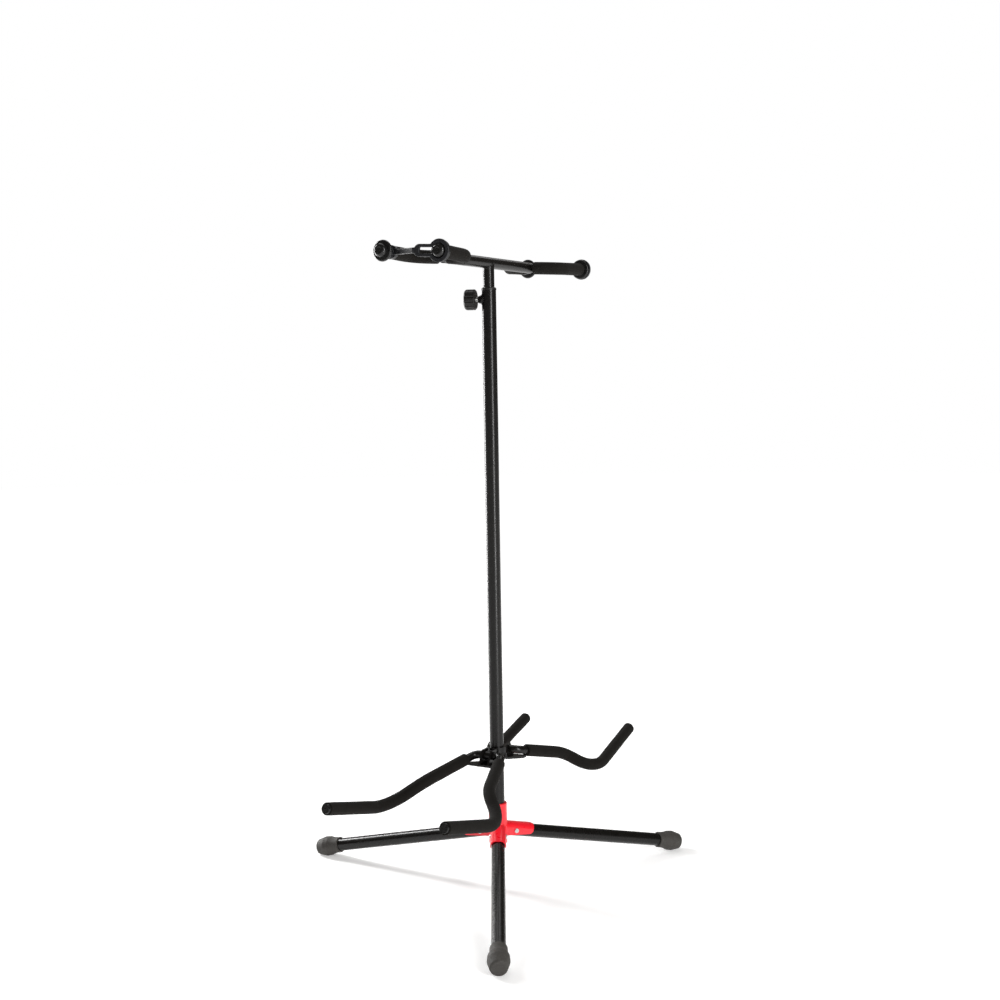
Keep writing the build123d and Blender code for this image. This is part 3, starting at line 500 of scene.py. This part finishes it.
# ---- weld beads ---------------------------------------------------------------------------------
BEAD_AROUND = 12
BEAD_TURNS = [2 * pi * j / BEAD_AROUND for j in range(BEAD_AROUND)]
BEAD_RIPPLE, RIPPLE_HEIGHT = 1.5 * MM, 0.12         # length of a ripple, and its share of the radius
LUMP_RATE, LUMP_HEIGHT = 400, 0.15
TAPER_START, TAPER_POINTS = 0.3, 4
ANY_SIDE = Vector((0.31, 0.52, 0.79))               # lies along none of the paths


def weld_bead(name, path, radius, closed, body, slot):
    """A rippled bead along a path of points; its ends taper off unless the path is closed."""
    count = len(path)
    points, travelled = [], 0.0
    side = ANY_SIDE
    for i, place in enumerate(path):
        before = path[i - 1] if closed or i else place
        after = path[(i + 1) % count] if closed or i < count - 1 else place
        tangent = (after - before).normalized()
        side = (side - tangent * side.dot(tangent)).normalized()
        across_bead = tangent.cross(side)
        travelled += (place - path[i - 1]).length if i else 0
        ripple = RIPPLE_HEIGHT * sin(2 * pi * travelled / BEAD_RIPPLE)
        r = radius * (1 + ripple + LUMP_HEIGHT * noise.noise(place * LUMP_RATE))
        if not closed:
            from_end = min(i, count - 1 - i)
            r *= min(1, (TAPER_START + from_end) / TAPER_POINTS)
        points += [place + (side * cos(a) + across_bead * sin(a)) * r for a in BEAD_TURNS]
    faces = closed_rings(path, BEAD_AROUND)
    if not closed:
        faces = faces[:-BEAD_AROUND]
        faces += [tuple(reversed(range(BEAD_AROUND))),
                  tuple((count - 1) * BEAD_AROUND + j for j in range(BEAD_AROUND))]
    mesh_piece(name, points, faces, FINISHES[slot], body)


MAST_R, POST_R, NUT_R, SLEEVE_R = 7.5 * MM, 9.5 * MM, 6.4 * MM, 12.5 * MM
LEG_AXIS_Z, LEG_DROP = 82.2 * MM, radians(13.3)
CHANNEL_HALF, CHANNEL_TOP, CHANNEL_FOOT = 10.75 * MM, 10.7 * MM, 72.6 * MM
ROOF_CORNER = 8.4 * MM
LEG_AZIMUTHS = {"front": -60, "rear": 60, "left": 180}
BEAD_R, CROSSBAR_BEAD_R = 0.7 * MM, 0.75 * MM
BEAD_POINTS = 150

turns = [2 * pi * i / BEAD_POINTS for i in range(BEAD_POINTS)]
weld_bead("weld_crossbar",
          [Vector((MAST_R * cos(a), MAST_R * sin(a), BAR_Z - MAST_R * abs(sin(a)))) for a in turns],
          CROSSBAR_BEAD_R, True, "head", "black_paint")
weld_bead("weld_clamp_nut",
          [Vector((0, 0, CLAMP_Z)) + side_dir * (NUT_R * cos(a)) + up_dir * (NUT_R * sin(a))
           + CLAMP_OUT * (POST_R ** 2 - (NUT_R * sin(a)) ** 2) ** 0.5 for a in turns],
          BEAD_R, True, "stand", "black_paint")

# The channel's section, half of it, as (distance from the middle, height over the leg's axis).
corner_x, corner_z = CHANNEL_HALF - ROOF_CORNER, CHANNEL_TOP - ROOF_CORNER
WALL_HEIGHT, BEAD_STEPS, FLAT_STEPS = 12.5 * MM, 36, 7
section = [(CHANNEL_HALF, corner_z - WALL_HEIGHT * (1 - i / BEAD_STEPS)) for i in range(BEAD_STEPS)]
for i in range(BEAD_STEPS + 1):
    around = pi / 2 * i / BEAD_STEPS
    section.append((corner_x + ROOF_CORNER * cos(around), corner_z + ROOF_CORNER * sin(around)))
section += [(corner_x * (1 - i / FLAT_STEPS), CHANNEL_TOP) for i in range(1, FLAT_STEPS)]
section += [(0, CHANNEL_TOP)] + [(-x, z) for x, z in reversed(section)]

for side, azimuth in LEG_AZIMUTHS.items():
    path = []
    for x, z in section:
        turn = asin(x / SLEEVE_R)
        height = LEG_AXIS_Z - SLEEVE_R * cos(turn) * tan(LEG_DROP) + z / cos(LEG_DROP)
        direction = radians(azimuth) + turn
        if height > CHANNEL_FOOT:
            path.append(Vector((SLEEVE_R * cos(direction), SLEEVE_R * sin(direction), height)))
    weld_bead(f"weld_leg_{side}", path, BEAD_R, False, "stand", "red_paint")

# ---- stage, light and camera --------------------------------------------------------------------
floor_mesh = bpy.data.meshes.new("floor")
FLOOR_R, FLOOR_SIDES = 9.0, 96
FLOOR_GLOW_SPAN, FLOOR_GLOW = (0.5, 3.0), (0.36, 0.98)  # the paper brightens away from the stand
floor_turns = [2 * pi * i / FLOOR_SIDES for i in range(FLOOR_SIDES)]
floor_mesh.from_pydata([(FLOOR_R * cos(a), FLOOR_R * sin(a), 0) for a in floor_turns], [],
                       [tuple(range(FLOOR_SIDES))])
floor_piece = bpy.data.objects.new("floor", floor_mesh)
scene.collection.objects.link(floor_piece)
paper = Finish("pale_floor", (0.86, 0.86, 0.86), 0.8, Emission_Color=(1, 1, 1, 1))
paper.colours(paper.grain(0.4), (0.85, 0.85, 0.85), (0.87, 0.87, 0.87))
outward = paper.tree.nodes.new("ShaderNodeVectorMath")
outward.operation = "LENGTH"
paper.tree.links.new(paper.place, outward.inputs[0])
glow = paper.ramp(outward.outputs["Value"], *FLOOR_GLOW_SPAN, *FLOOR_GLOW)
paper.tree.links.new(glow, paper.shader.inputs["Emission Strength"])
floor_mesh.materials.append(paper.material)

ROOM_LIGHT, BACKDROP_LIGHT = 0.12, 1.0
ROOM_COLOUR, BACKDROP_COLOUR = (1, 0.93, 0.85), (1, 1, 1)
world = bpy.data.worlds.new("studio")
world.use_nodes = True
sky = world.node_tree
rays = sky.nodes.new("ShaderNodeLightPath")
tint = sky.nodes.new("ShaderNodeMix")
tint.data_type = "RGBA"
tint.inputs[6].default_value = (*ROOM_COLOUR, 1)
tint.inputs[7].default_value = (*BACKDROP_COLOUR, 1)
sky.links.new(rays.outputs["Is Camera Ray"], tint.inputs[0])
sky.links.new(tint.outputs[2], sky.nodes["Background"].inputs["Color"])
strength = sky.nodes.new("ShaderNodeMapRange")
strength.inputs["To Min"].default_value = ROOM_LIGHT
strength.inputs["To Max"].default_value = BACKDROP_LIGHT
sky.links.new(rays.outputs["Is Camera Ray"], strength.inputs["Value"])
sky.links.new(strength.outputs["Result"], sky.nodes["Background"].inputs["Strength"])
scene.world = world
scene.view_settings.view_transform = "Standard"


def softbox(name, place, target, width, height, power):
    light = bpy.data.lights.new(name, "AREA")
    light.shape = "RECTANGLE"
    light.size, light.size_y = width, height
    light.energy = power
    lamp = bpy.data.objects.new(name, light)
    lamp.location = place
    lamp.rotation_euler = (Vector(target) - Vector(place)).to_track_quat("-Z", "Y").to_euler()
    scene.collection.objects.link(lamp)


CAMERA_PLACE = Vector((0.976, -1.663, 0.686))
CAMERA_RIGHT = Vector((0.8656, 0.5004, -0.0167))
CAMERA_UP = Vector((-0.0254, 0.0772, 0.9967))
LENS_MM, SENSOR_MM = 51.8, 36.0
MIDDLE = (0, 0, 0.45)
softbox("top_softbox", (-0.6, 1.2, 2.6), (0, 0, 0), 2.2, 2.2, 24)
softbox("left_strip", (-1.88, 0.26, 0.9), MIDDLE, 0.35, 2.0, 62)
softbox("right_strip", (1.72, -0.8, 0.9), MIDDLE, 0.26, 2.0, 36)

right = CAMERA_RIGHT.normalized()
up = (CAMERA_UP - right * CAMERA_UP.dot(right)).normalized()
turned = Matrix((right, up, right.cross(up))).transposed()
camera = bpy.data.objects.new("camera", bpy.data.cameras.new("camera"))
camera.data.lens = LENS_MM
camera.data.sensor_width = SENSOR_MM
camera.matrix_world = Matrix.Translation(CAMERA_PLACE) @ turned.to_4x4()
scene.collection.objects.link(camera)
scene.camera = camera
